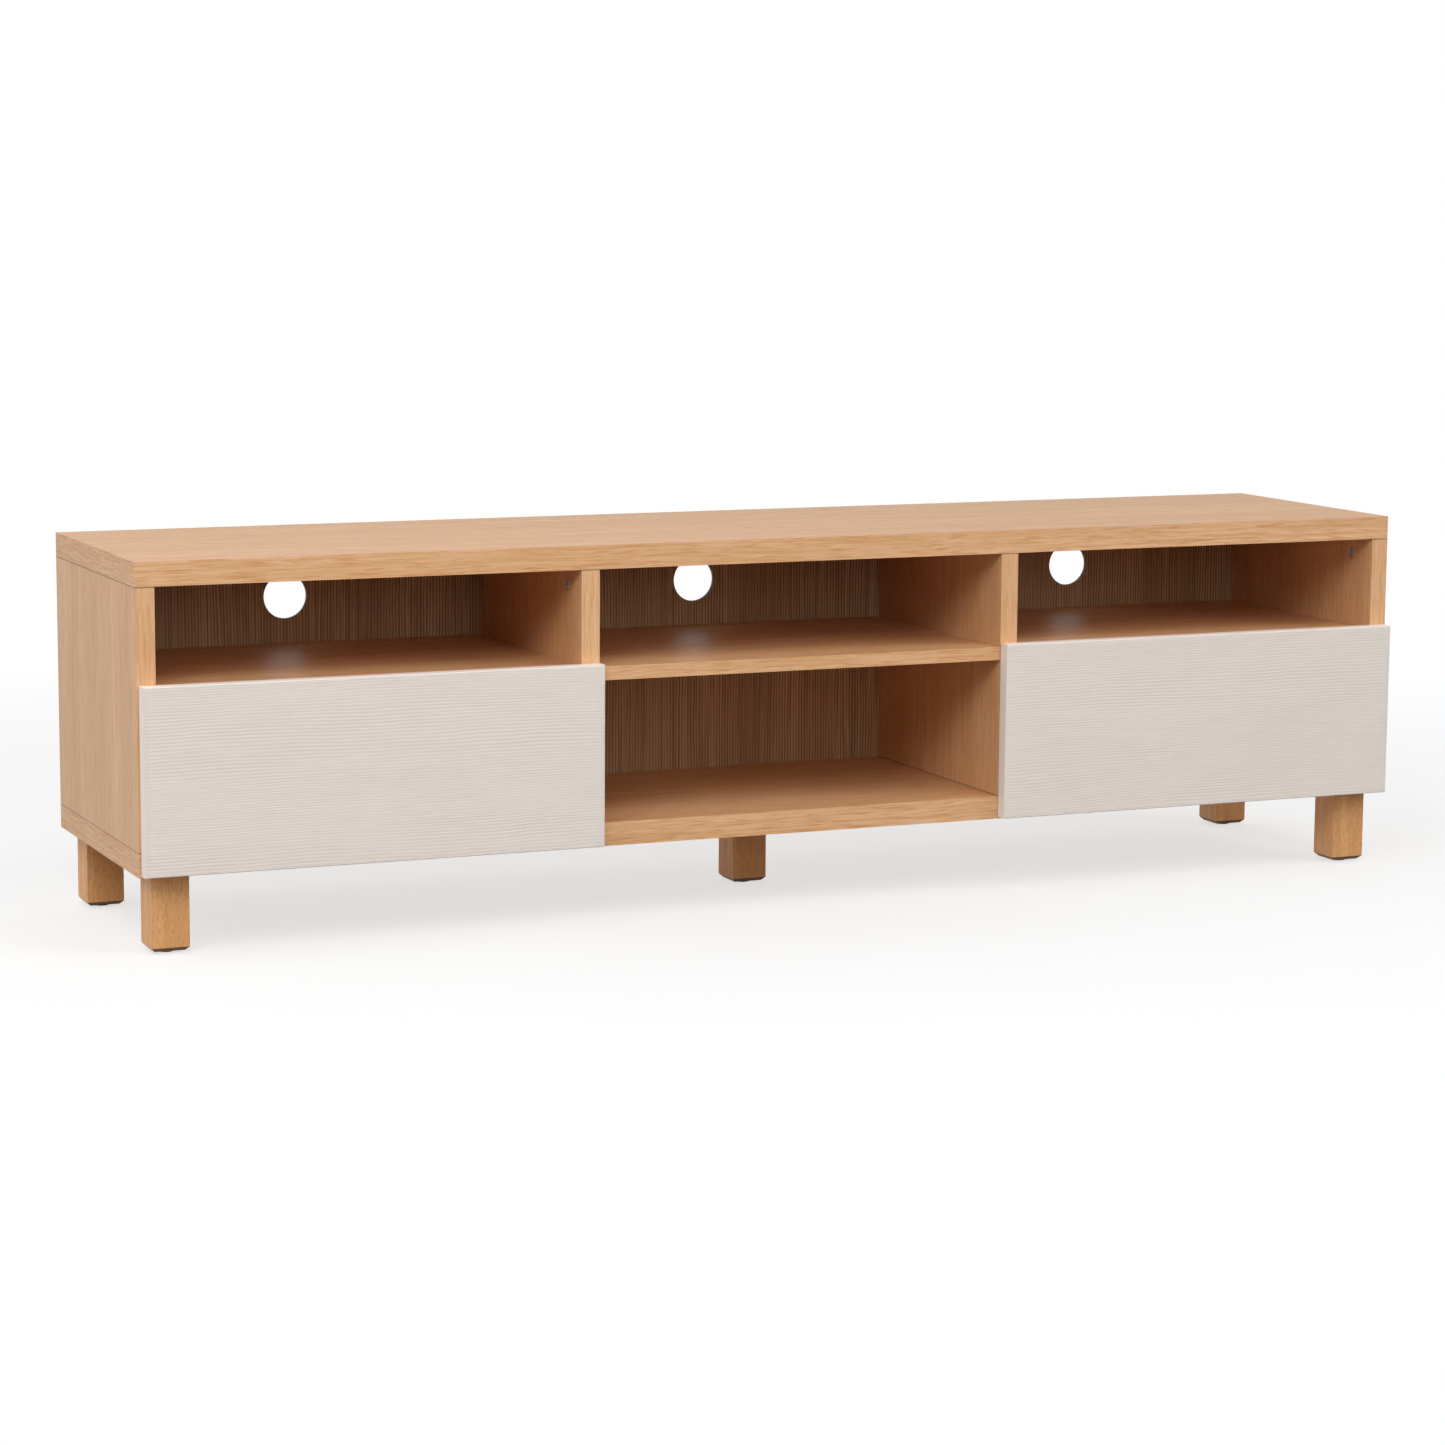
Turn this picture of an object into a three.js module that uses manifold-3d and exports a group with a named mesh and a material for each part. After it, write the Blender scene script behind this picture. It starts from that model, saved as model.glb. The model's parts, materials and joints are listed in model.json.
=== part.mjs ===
// Media cabinet on five wooden legs: two drawers, three open upper bays and one open lower bay.
// Units are millimetres. X runs along the cabinet, +Y points to its back and +Z up.
// The origin is on the floor, under the middle of the overall length and depth.

import * as THREE from 'three';
import { mergeVertices } from 'three/addons/utils/BufferGeometryUtils.js';
import Module from 'manifold-3d';

const wasm = await Module();
wasm.setup();

// ---------- driving dimensions ----------

const gap = 0.3; // clearance between pieces that touch

const cabinetWidth = 1800;
const carcassDepth = 395;
const topThickness = 31;
const bottomThickness = 31;
const sideThickness = 25;
const dividerThickness = 25;
const shelfThickness = 18;
const upperBayHeight = 126;
const lowerBayHeight = 186;
const sideBayWidth = 560;

const backPanelThickness = 5;
const backPanelInset = 17; // back of the carcass to the back of the panel
const grooveDepth = 6;
const cableHoleRadius = 30;

const legSide = 49;
const legHeight = 97;
const legChamfer = 5;
const legInsetSide = 18;
const legInsetFront = 12;
const legInsetBack = 15;
const glideThickness = 3;
const glideRadius = 11;
const glideNailRadius = 1.2;
const glideNailLength = 12;
const glideChamfer = 1;
const hangerBoltRadius = 4;
const hangerBoltInLeg = 36;
const hangerBoltInPanel = 22;
const hangerBoltChamfer = 1;

const camRadius = 7.5;
const camThickness = 12.4;
const camRecess = 0.3;
const camFromFront = 52;
const camFromBack = 60;
const camFromTop = 24;
const camSlotLength = 9;
const camSlotWidth = 1.6;
const camSlotDepth = 2.5;
const camBoltBoreRadius = 4;
const camBoltPilotRadius = 2.5;
const camBoltPilotDepth = 12;

const frontThickness = 18;
const frontGap = 2; // drawer front to carcass
const frontSideReveal = 3;
const frontBottomReveal = 3;
const frontRise = 5; // drawer front above the shelf's top face
const frontArris = 1.2;

const boxBoardThickness = 12;
const boxHeight = 130;
const boxLift = 12; // drawer box above the bottom panel
const boxBottomThickness = 5;
const boxBottomRise = 9; // drawer bottom above the lower edge of the box sides
const boxGrooveDepth = 5;

const runnerWidth = 12.7;
const runnerHeight = 35;
const runnerSheet = 1.2;
const runnerSetback = 3; // front end of the runner behind the carcass front
const runnerFlange = 9.7;
const slideHeight = 22;
const slideFlange = 9.2;
const drawerTravel = 220;
const cageLength = 78;
const cageSheet = 0.8;
const cageWebGap = 0.45; // cage web to the slide's flange tips
const cageBallRadius = 2.3;
const cageBallCount = 4;

const latchPlungerRadius = 4;
const latchPlungerLength = 52;
const latchReach = 12; // plunger standing out of its housing with the drawer shut
const latchWallGap = 4;
const latchHousingLength = 57;
const latchHousingWidth = 16;
const latchHousingHeight = 30;
const latchAxisHeight = 21;
const latchBoreLength = 45;
const latchPlateWidth = 44;
const latchPlateThickness = 3;
const latchScrewRadius = 1.8;
const latchScrewSpacing = 32;

const roundSegments = 32;
const holeSegments = 48; // the large cable holes
const discSegments = 24;
const smallSegments = 16;
const fineSegments = 12; // pilot and nail holes
const overshoot = 1; // how far a cutting tool stands out of the face it cuts

// ---------- places worked out from the driving dimensions ----------

const halfWidth = cabinetWidth / 2;
const overallDepth = carcassDepth + frontGap + frontThickness;
const carcassFront = -overallDepth / 2 + frontThickness + frontGap;
const carcassBack = carcassFront + carcassDepth;
const backPanelBack = carcassBack - backPanelInset;
const backPanelFront = backPanelBack - backPanelThickness;

const caseBottom = glideThickness + legHeight;
const bayFloor = caseBottom + bottomThickness;
const shelfUnderside = bayFloor + lowerBayHeight;
const shelfTop = shelfUnderside + shelfThickness;
const bayCeiling = shelfTop + upperBayHeight;
const caseTop = bayCeiling + topThickness;

const leftBay = { from: -halfWidth + sideThickness, to: -halfWidth + sideThickness + sideBayWidth };
const rightBay = { from: -leftBay.to, to: -leftBay.from };
const centreBay = { from: leftBay.to + dividerThickness, to: rightBay.from - dividerThickness };

const boxFloor = bayFloor + boxLift;
const boxBack = backPanelFront - latchWallGap - latchHousingLength - latchReach;
const frontBack = carcassFront - frontGap;
const frontFace = frontBack - frontThickness;
const runnerAxisHeight = boxFloor + boxHeight / 2;
const runnerFront = carcassFront + runnerSetback;
const runnerClearance = runnerWidth + gap; // bay wall to drawer box

// ---------- materials ----------

function material(name, color, roughness, metalness = 0) {
  return new THREE.MeshStandardMaterial({ name, color, roughness, metalness });
}

const oakVeneer = () => material('oak_veneer', 0xd5ad80, 0.5);
const legTimber = () => material('leg_timber', 0xb5793f, 0.55);
const paleFront = () => material('pale_front', 0xded4ca, 0.6);
const boxBoard = () => material('box_board', 0xd9c3a2, 0.6);
const boxBase = () => material('box_base', 0xe4dccf, 0.6);
const runnerSteel = () => material('runner_steel', 0xb8bcc0, 0.35, 1);
const cageSteel = () => material('cage_steel', 0x9ea3a8, 0.3, 1);
const zincFitting = () => material('zinc_fitting', 0xa7a9ab, 0.4, 1);
const boltSteel = () => material('bolt_steel', 0xc3b98f, 0.4, 1);
const darkPlastic = () => material('dark_plastic', 0x2d2926, 0.7);
const greyPlastic = () => material('grey_plastic', 0x8d8f90, 0.6);

// ---------- shapes ----------

function boxBetween(low, high) {
  const size = high.map((value, i) => value - low[i]);
  const geometry = new THREE.BoxGeometry(...size);
  return geometry.translate(...low.map((value, i) => value + size[i] / 2));
}

// A round bar along an axis ('x', 'y' or 'z') from one coordinate to another.
function roundBar(axis, radius, centre, from, to, segments = roundSegments) {
  const geometry = new THREE.CylinderGeometry(radius, radius, to - from, segments);
  const middle = (from + to) / 2;
  if (axis === 'x') return geometry.rotateZ(-Math.PI / 2).translate(middle, centre[0], centre[1]);
  if (axis === 'y') return geometry.translate(centre[0], middle, centre[1]);
  return geometry.rotateX(Math.PI / 2).translate(centre[0], centre[1], middle);
}

// An outline in X and Z carried along Y.
function extrudeAlongY(outline, from, to) {
  const shape = new THREE.Shape(outline.map(([x, z]) => new THREE.Vector2(x, z)));
  const geometry = new THREE.ExtrudeGeometry(shape, { depth: to - from, bevelEnabled: false });
  return geometry.rotateX(Math.PI / 2).translate(0, to, 0);
}

function toSolid(geometry) {
  const bare = geometry.clone();
  bare.deleteAttribute('normal');
  bare.deleteAttribute('uv');
  const merged = mergeVertices(bare);
  const vertProperties = new Float32Array(merged.attributes.position.array);
  const triVerts = new Uint32Array(merged.index.array);
  return new wasm.Manifold(new wasm.Mesh({ numProp: 3, vertProperties, triVerts }));
}

function toGeometry(solid) {
  const mesh = solid.getMesh();
  const geometry = new THREE.BufferGeometry();
  geometry.setAttribute('position', new THREE.BufferAttribute(new Float32Array(mesh.vertProperties), 3));
  geometry.setIndex(new THREE.BufferAttribute(new Uint32Array(mesh.triVerts), 1));
  geometry.computeVertexNormals();
  return geometry;
}

function cut(geometry, tools) {
  return toGeometry(tools.reduce((solid, tool) => solid.subtract(toSolid(tool)), toSolid(geometry)));
}

function join(geometries) {
  return toGeometry(geometries.map(toSolid).reduce((all, solid) => all.add(solid)));
}

const group = new THREE.Group();

// Adds a piece whose geometry is given in the cabinet's frame, with its own origin at anchor.
function addPiece(parent, name, geometry, finish, anchor) {
  const mesh = new THREE.Mesh(geometry.translate(...anchor.map((value) => -value)), finish);
  mesh.name = name;
  mesh.position.set(...anchor);
  parent.add(mesh);
}

// ---------- carcass ----------

function backPanelBox(grow) {
  return boxBetween(
    [leftBay.from - grooveDepth - grow, backPanelFront - grow, bayFloor - grooveDepth - grow],
    [rightBay.to + grooveDepth + grow, backPanelBack + grow, bayCeiling + grooveDepth + grow],
  );
}

// Uprights, left to right. "camFace" is the drawer-bay face that holds the cam fittings,
// and "inward" is the direction from that face into the board.
const uprights = [
  { name: 'left_side', from: -halfWidth, to: leftBay.from, camFace: leftBay.from, inward: -1 },
  { name: 'left_divider', from: leftBay.to, to: centreBay.from, camFace: leftBay.to, inward: 1 },
  { name: 'right_divider', from: centreBay.to, to: rightBay.from, camFace: rightBay.from, inward: -1 },
  { name: 'right_side', from: rightBay.to, to: halfWidth, camFace: rightBay.to, inward: 1 },
];
const camPlaces = [
  { name: 'front', y: carcassFront + camFromFront },
  { name: 'rear', y: carcassBack - camFromBack },
];
const camHeight = bayCeiling - camFromTop;

function camSpan(upright, recess, depth) {
  const ends = [upright.camFace + upright.inward * recess, upright.camFace + upright.inward * depth];
  return ends.sort((a, b) => a - b);
}

function camBores(upright) {
  const [from, to] = camSpan(upright, -overshoot, camRecess + camThickness + gap);
  const middle = (upright.from + upright.to) / 2;
  return camPlaces.flatMap(({ y }) => [
    roundBar('x', camRadius + gap, [y, camHeight], from, to),
    roundBar('z', camBoltBoreRadius, [middle, y], camHeight, bayCeiling + overshoot, smallSegments),
  ]);
}

function addUprights(parent) {
  for (const upright of uprights) {
    const isSide = upright.name.endsWith('side');
    const back = isSide ? carcassBack : backPanelFront - gap;
    const low = [upright.from, carcassFront, bayFloor + gap];
    const board = boxBetween(low, [upright.to, back, bayCeiling - gap]);
    const tools = isSide ? [backPanelBox(gap), ...camBores(upright)] : camBores(upright);
    const name = isSide ? `${upright.name}_panel` : upright.name;
    addPiece(parent, name, cut(board, tools), oakVeneer(), low);
  }
}

function addTopPanel(parent) {
  const low = [-halfWidth, carcassFront, bayCeiling];
  const board = boxBetween(low, [halfWidth, carcassBack, caseTop]);
  const pilots = uprights.flatMap((upright) => camPlaces.map(({ y }) => {
    const middle = (upright.from + upright.to) / 2;
    const end = bayCeiling + camBoltPilotDepth;
    return roundBar('z', camBoltPilotRadius, [middle, y], bayCeiling - overshoot, end, fineSegments);
  }));
  addPiece(parent, 'top_panel', cut(board, [backPanelBox(gap), ...pilots]), oakVeneer(), low);
}

function addBottomPanel(parent) {
  const low = [-halfWidth, carcassFront, caseBottom + gap];
  const board = boxBetween(low, [halfWidth, carcassBack, bayFloor]);
  const bores = legPlaces.map(({ x, y }) => roundBar(
    'z', hangerBoltRadius + gap, [x, y],
    caseBottom - overshoot, caseBottom + hangerBoltInPanel + gap, smallSegments,
  ));
  addPiece(parent, 'bottom_panel', cut(board, [backPanelBox(gap), ...bores]), oakVeneer(), low);
}

function addShelves(parent) {
  const bays = [['left_shelf', leftBay], ['centre_shelf', centreBay], ['right_shelf', rightBay]];
  for (const [name, bay] of bays) {
    const low = [bay.from + gap, carcassFront, shelfUnderside];
    const board = boxBetween(low, [bay.to - gap, backPanelFront - gap, shelfTop]);
    addPiece(parent, name, board, oakVeneer(), low);
  }
}

function addBackPanel(parent) {
  const low = [leftBay.from - grooveDepth, backPanelFront, bayFloor - grooveDepth];
  const holeHeight = (shelfTop + bayCeiling) / 2;
  const holes = [leftBay, centreBay, rightBay].map(({ from, to }) => roundBar(
    'y', cableHoleRadius, [(from + to) / 2, holeHeight],
    backPanelFront - overshoot, backPanelBack + overshoot, holeSegments,
  ));
  addPiece(parent, 'back_panel', cut(backPanelBox(0), holes), oakVeneer(), low);
}

function addCams(parent) {
  for (const upright of uprights) {
    const [from, to] = camSpan(upright, camRecess, camRecess + camThickness);
    const [slotFrom, slotTo] = camSpan(upright, -overshoot, camRecess + camSlotDepth);
    const long = camSlotLength / 2;
    const short = camSlotWidth / 2;
    for (const { name, y } of camPlaces) {
      const disc = roundBar('x', camRadius, [y, camHeight], from, to, discSegments);
      const cross = [[long, short], [short, long]].map(([halfY, halfZ]) => boxBetween(
        [slotFrom, y - halfY, camHeight - halfZ],
        [slotTo, y + halfY, camHeight + halfZ],
      ));
      addPiece(parent, `cam_${upright.name}_${name}`, cut(disc, cross), zincFitting(), [from, y, camHeight]);
    }
  }
}

// ---------- legs ----------

const legCentreX = halfWidth - legInsetSide - legSide / 2;
const legFrontY = carcassFront + legInsetFront + legSide / 2;
const legBackY = carcassBack - legInsetBack - legSide / 2;
const legPlaces = [
  { name: 'front_left', x: -legCentreX, y: legFrontY },
  { name: 'front_right', x: legCentreX, y: legFrontY },
  { name: 'rear_left', x: -legCentreX, y: legBackY },
  { name: 'rear_right', x: legCentreX, y: legBackY },
  { name: 'centre', x: 0, y: (carcassFront + carcassBack) / 2 },
];

// A square post whose lower end is chamfered and whose upper end is square: it is extruded
// with a chamfer at both ends, and the upper chamfer is cut off.
function legBlank() {
  const half = legSide / 2 - legChamfer;
  const square = new THREE.Shape([
    new THREE.Vector2(-half, -half),
    new THREE.Vector2(half, -half),
    new THREE.Vector2(half, half),
    new THREE.Vector2(-half, half),
  ]);
  const post = new THREE.ExtrudeGeometry(square, {
    depth: legHeight,
    bevelThickness: legChamfer,
    bevelSize: legChamfer,
    bevelSegments: 1,
  }).translate(0, 0, glideThickness + legChamfer);
  const above = boxBetween([-legSide, -legSide, caseBottom], [legSide, legSide, caseBottom + legHeight]);
  return cut(post, [above]);
}

function addLegs(parent) {
  for (const { name, x, y } of legPlaces) {
    const boltBore = roundBar(
      'z', hangerBoltRadius + gap, [0, 0],
      caseBottom - hangerBoltInLeg - gap, caseBottom + overshoot, smallSegments,
    );
    const nailBore = roundBar(
      'z', glideNailRadius + gap, [0, 0],
      glideThickness - overshoot, glideThickness + glideNailLength + gap, fineSegments,
    );
    const leg = cut(legBlank(), [boltBore, nailBore]).translate(x, y, 0);
    addPiece(parent, `leg_${name}`, leg, legTimber(), [x, y, glideThickness]);
  }
}

function latheUpright(profile, segments) {
  const points = profile.map(([radius, height]) => new THREE.Vector2(radius, height));
  return new THREE.LatheGeometry(points, segments).rotateX(Math.PI / 2);
}

function addHangerBolts(parent) {
  const low = caseBottom - hangerBoltInLeg;
  const high = caseBottom + hangerBoltInPanel;
  const slim = hangerBoltRadius - hangerBoltChamfer;
  for (const { name, x, y } of legPlaces) {
    const bolt = latheUpright([
      [0, low],
      [slim, low],
      [hangerBoltRadius, low + hangerBoltChamfer],
      [hangerBoltRadius, high - hangerBoltChamfer],
      [slim, high],
      [0, high],
    ], smallSegments);
    addPiece(parent, `hanger_bolt_${name}`, bolt.translate(x, y, 0), boltSteel(), [x, y, low]);
  }
}

function addGlides(parent) {
  const discTop = glideThickness - gap;
  const nailTop = glideThickness + glideNailLength;
  for (const { name, x, y } of legPlaces) {
    const glide = latheUpright([
      [0, 0],
      [glideRadius - glideChamfer, 0],
      [glideRadius, glideChamfer],
      [glideRadius, discTop],
      [glideNailRadius, discTop],
      [glideNailRadius, nailTop - glideNailRadius],
      [0, nailTop],
    ], discSegments);
    addPiece(parent, `glide_${name}`, glide.translate(x, y, 0), darkPlastic(), [x, y, 0]);
  }
}

// ---------- drawers ----------

// A board with its four long front edges softened by a small chamfer on the show face.
function drawerFrontBoard(from, to, low, high) {
  const inner = frontArris;
  const shape = new THREE.Shape([
    new THREE.Vector2(from + inner, low + inner),
    new THREE.Vector2(to - inner, low + inner),
    new THREE.Vector2(to - inner, high - inner),
    new THREE.Vector2(from + inner, high - inner),
  ]);
  const board = new THREE.ExtrudeGeometry(shape, {
    depth: frontThickness - 2 * frontArris,
    bevelThickness: frontArris,
    bevelSize: frontArris,
    bevelSegments: 1,
  });
  return board.rotateX(Math.PI / 2).translate(0, frontBack - frontArris, 0);
}

function addDrawer(parent, side, bay, frontFrom, frontTo) {
  const drawer = new THREE.Group();
  const outer = { from: bay.from + runnerClearance, to: bay.to - runnerClearance };
  const inner = { from: outer.from + boxBoardThickness, to: outer.to - boxBoardThickness };
  const boxFront = frontBack + gap;
  const boxTop = boxFloor + boxHeight;
  const baseLow = boxFloor + boxBottomRise;
  const reach = boxGrooveDepth - gap;
  const baseFrom = [inner.from - reach, frontBack - reach, baseLow];
  const baseTo = [inner.to + reach, boxBack - boxBoardThickness + reach, baseLow + boxBottomThickness];
  const base = boxBetween(baseFrom, baseTo);
  const groove = boxBetween(baseFrom.map((value) => value - gap), baseTo.map((value) => value + gap));

  const frontLow = caseBottom + frontBottomReveal;
  const frontAnchor = [frontFrom, frontFace, frontLow];
  const frontBoard = drawerFrontBoard(frontFrom, frontTo, frontLow, shelfTop + frontRise);
  addPiece(drawer, `${side}_drawer_front`, cut(frontBoard, [groove]), paleFront(), frontAnchor);

  const sides = [['left', outer.from, inner.from], ['right', inner.to, outer.to]];
  for (const [hand, from, to] of sides) {
    const low = [from, boxFront, boxFloor];
    const board = boxBetween(low, [to, boxBack, boxTop]);
    addPiece(drawer, `${side}_drawer_${hand}_side`, cut(board, [groove]), boxBoard(), low);
  }

  const backLow = [inner.from + gap, boxBack - boxBoardThickness, boxFloor];
  const backBoard = boxBetween(backLow, [inner.to - gap, boxBack, boxTop]);
  addPiece(drawer, `${side}_drawer_back`, cut(backBoard, [groove]), boxBoard(), backLow);
  addPiece(drawer, `${side}_drawer_bottom`, base, boxBase(), baseFrom);

  addRunner(drawer, `${side}_drawer_left`, bay.from, 1);
  addRunner(drawer, `${side}_drawer_right`, bay.to, -1);
  addLatch(drawer, side, (bay.from + bay.to) / 2);
  parent.add(drawer);
}

// ---------- ball-bearing runners ----------

// The outline of a thin channel in X and Z. Its web stands at x = webAt and its flanges
// reach towards x = tipAt, "height" apart over the outside.
function channelOutline(webAt, tipAt, height, sheet) {
  const half = height / 2;
  const inside = webAt + Math.sign(tipAt - webAt) * sheet;
  return [
    [webAt, -half],
    [tipAt, -half],
    [tipAt, -half + sheet],
    [inside, -half + sheet],
    [inside, half - sheet],
    [tipAt, half - sheet],
    [tipAt, half],
    [webAt, half],
  ];
}

function channel(wall, hand, webAt, tipAt, height, sheet, from, to) {
  const outline = channelOutline(webAt, tipAt, height, sheet);
  const placed = outline.map(([x, z]) => [wall + hand * x, runnerAxisHeight + z]);
  return extrudeAlongY(placed, from, to);
}

// One runner: a rail on the bay wall, a slide on the drawer side and a ball cage between them.
// "hand" is +1 where the drawer lies towards +X of the wall.
function addRunner(parent, name, wall, hand) {
  const runnerBack = boxBack - runnerSetback;
  const anchor = [wall, runnerFront, runnerAxisHeight];
  const rail = channel(
    wall, hand, gap, gap + runnerFlange, runnerHeight, runnerSheet, runnerFront, runnerBack,
  );
  addPiece(parent, `${name}_runner_rail`, rail, runnerSteel(), anchor);

  const slide = channel(
    wall, hand, runnerWidth, runnerWidth - slideFlange, slideHeight, runnerSheet, runnerFront, runnerBack,
  );
  addPiece(parent, `${name}_runner_slide`, slide, runnerSteel(), anchor);

  const raceTop = runnerHeight / 2 - runnerSheet;
  const raceMiddle = (raceTop + slideHeight / 2) / 2;
  const cageFront = runnerFront + drawerTravel / 2;
  const cageBack = cageFront + cageLength;
  const slideTip = runnerWidth - slideFlange;
  const cageWeb = slideTip - cageSheet - cageWebGap;
  const cage = channel(
    wall, hand, cageWeb, runnerFlange, 2 * raceMiddle + cageSheet, cageSheet, cageFront, cageBack,
  );
  const ballX = (slideTip + runnerFlange) / 2;
  const pitch = cageLength / cageBallCount;
  const balls = [];
  for (let i = 0; i < cageBallCount; i += 1) {
    const along = cageFront + (i + 0.5) * pitch;
    for (const level of [-raceMiddle, raceMiddle]) {
      const ball = new THREE.OctahedronGeometry(cageBallRadius, 1);
      balls.push(ball.translate(wall + hand * ballX, along, runnerAxisHeight + level));
    }
  }
  addPiece(parent, `${name}_ball_cage`, join([cage, ...balls]), cageSteel(), anchor);
}

// ---------- push latches ----------

function addLatch(parent, side, x) {
  const axis = [x, bayFloor + latchAxisHeight];
  const housingFront = boxBack + latchReach;
  const housingBack = housingFront + latchHousingLength;
  const floor = bayFloor + gap;
  const body = boxBetween(
    [x - latchHousingWidth / 2, housingFront, floor],
    [x + latchHousingWidth / 2, housingBack, floor + latchHousingHeight],
  );
  const plate = boxBetween(
    [x - latchPlateWidth / 2, housingFront, floor],
    [x + latchPlateWidth / 2, housingBack, floor + latchPlateThickness],
  );
  const bore = roundBar(
    'y', latchPlungerRadius + gap, axis,
    housingFront - overshoot, housingFront + latchBoreLength, discSegments,
  );
  const screwHoles = [-1, 1].map((hand) => roundBar(
    'z', latchScrewRadius, [x + hand * latchScrewSpacing / 2, (housingFront + housingBack) / 2],
    floor - overshoot, floor + latchPlateThickness + overshoot, smallSegments,
  ));
  const housing = cut(join([body, plate]), [bore, ...screwHoles]);
  addPiece(parent, `${side}_latch_housing`, housing, greyPlastic(), [x, housingFront, floor]);

  const round = latchPlungerRadius / 3;
  const plungerFront = boxBack + gap;
  const plungerBack = plungerFront + latchPlungerLength;
  const profile = [
    [0, plungerFront],
    [latchPlungerRadius - round, plungerFront],
    [latchPlungerRadius, plungerFront + round],
    [latchPlungerRadius, plungerBack],
    [0, plungerBack],
  ];
  const points = profile.map(([radius, along]) => new THREE.Vector2(radius, along));
  const plunger = new THREE.LatheGeometry(points, discSegments).translate(axis[0], 0, axis[1]);
  addPiece(parent, `${side}_latch_plunger`, plunger, darkPlastic(), [x, plungerFront, axis[1]]);
}

// ---------- assembly ----------

addTopPanel(group);
addBottomPanel(group);
addUprights(group);
addShelves(group);
addBackPanel(group);
addCams(group);
addLegs(group);
addHangerBolts(group);
addGlides(group);
addDrawer(group, 'left', leftBay, -halfWidth + frontSideReveal, centreBay.from);
addDrawer(group, 'right', rightBay, centreBay.to, halfWidth - frontSideReveal);

export default group;
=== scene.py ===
import json
import math

import bmesh
import bpy
from mathutils import Matrix, Vector, noise


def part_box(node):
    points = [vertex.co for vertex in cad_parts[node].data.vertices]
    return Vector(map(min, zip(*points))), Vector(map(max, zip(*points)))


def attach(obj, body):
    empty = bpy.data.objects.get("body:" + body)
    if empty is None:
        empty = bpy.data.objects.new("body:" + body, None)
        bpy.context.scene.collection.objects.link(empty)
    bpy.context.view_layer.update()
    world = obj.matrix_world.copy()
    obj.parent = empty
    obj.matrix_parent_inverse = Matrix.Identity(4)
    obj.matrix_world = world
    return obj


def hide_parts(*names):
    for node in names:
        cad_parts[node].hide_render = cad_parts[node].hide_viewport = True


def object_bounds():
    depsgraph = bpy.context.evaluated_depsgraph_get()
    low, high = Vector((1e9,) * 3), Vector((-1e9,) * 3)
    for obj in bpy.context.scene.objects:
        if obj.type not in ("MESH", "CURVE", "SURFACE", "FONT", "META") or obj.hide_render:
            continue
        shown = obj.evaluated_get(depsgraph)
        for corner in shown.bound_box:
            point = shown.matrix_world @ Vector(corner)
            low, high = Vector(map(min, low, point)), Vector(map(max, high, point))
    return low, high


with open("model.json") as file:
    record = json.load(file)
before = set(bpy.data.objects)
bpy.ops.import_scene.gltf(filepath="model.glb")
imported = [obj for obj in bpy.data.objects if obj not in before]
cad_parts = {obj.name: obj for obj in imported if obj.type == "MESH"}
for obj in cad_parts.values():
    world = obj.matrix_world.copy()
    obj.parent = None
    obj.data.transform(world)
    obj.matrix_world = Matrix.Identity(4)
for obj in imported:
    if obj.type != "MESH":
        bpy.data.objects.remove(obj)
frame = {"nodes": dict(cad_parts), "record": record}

CAD_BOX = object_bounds()
CENTRE = (CAD_BOX[0] + CAD_BOX[1]) / 2
NODES = frame["nodes"]
MM = 0.001
DRAWERS = ("left", "right")
HANDS = ("left", "right")

# ---------- shader graphs ----------


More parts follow.
